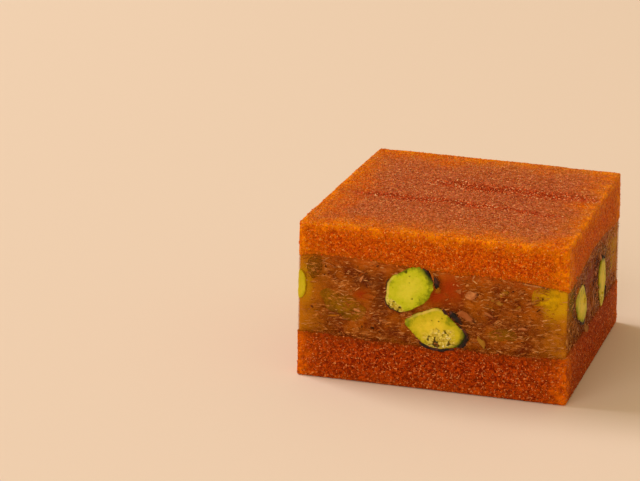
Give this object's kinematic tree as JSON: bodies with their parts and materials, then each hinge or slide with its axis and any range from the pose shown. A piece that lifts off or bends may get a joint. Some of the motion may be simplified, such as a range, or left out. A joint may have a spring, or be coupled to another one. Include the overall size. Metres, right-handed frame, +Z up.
{
  "type": "turkish delight",
  "caption": "Hand-cut block of layered turkish delight: clear amber jelly with sliced pistachio kernels between two layers of sugared fruit paste.",
  "frame": {"origin": "middle of the block's footprint, on the surface it stands on", "axes": "+X along the longer side, to the right as the front cut is faced; +Y from the front cut to the back cut; +Z up, across the layers"},
  "size_m": [0.0342, 0.0312, 0.0209],
  "materials": {
    "fruit_paste": "grainy, slightly moist",
    "amber_jelly": "clear, soft gloss",
    "pistachio": "crumbly cut face"
  },
  "bodies": {
    "root": {"paste_base": "fruit_paste", "jelly": "amber_jelly", "paste_top": "fruit_paste", "pistachio_front_upper": "pistachio", "pistachio_front_lower": "pistachio", "pistachio_corner": "pistachio", "pistachio_right_near": "pistachio", "pistachio_right_far": "pistachio", "pistachio_left_middle": "pistachio", "pistachio_left_back": "pistachio", "pistachio_back_low": "pistachio", "pistachio_back_high": "pistachio"}
  },
  "joints": []
}
